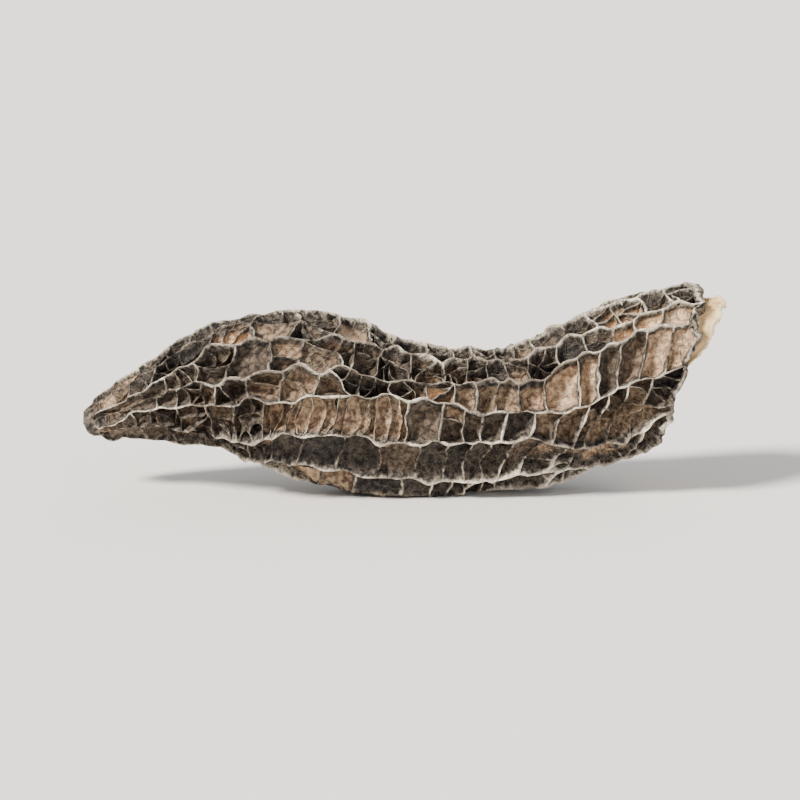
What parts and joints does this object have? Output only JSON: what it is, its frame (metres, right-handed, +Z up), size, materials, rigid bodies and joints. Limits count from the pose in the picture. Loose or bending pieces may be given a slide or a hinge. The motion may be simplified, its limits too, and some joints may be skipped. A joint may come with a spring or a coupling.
{
  "type": "dried morel mushroom",
  "caption": "Whole dried morel: long bent honeycomb cap with raised pale ridges round sunken pits, and a short torn hollow stem.",
  "frame": {"origin": "under the middle of the mushroom, on the surface that it lies on", "axes": "+X from the tip of the cap to the stem, +Y away from the side that the picture shows, +Z up"},
  "size_m": [0.0488, 0.0132, 0.016],
  "materials": {
    "dried_morel": "matte, dry and wrinkled, dark brown with pale ridge crests"
  },
  "bodies": {
    "root": {"morel": "dried_morel"}
  },
  "joints": []
}
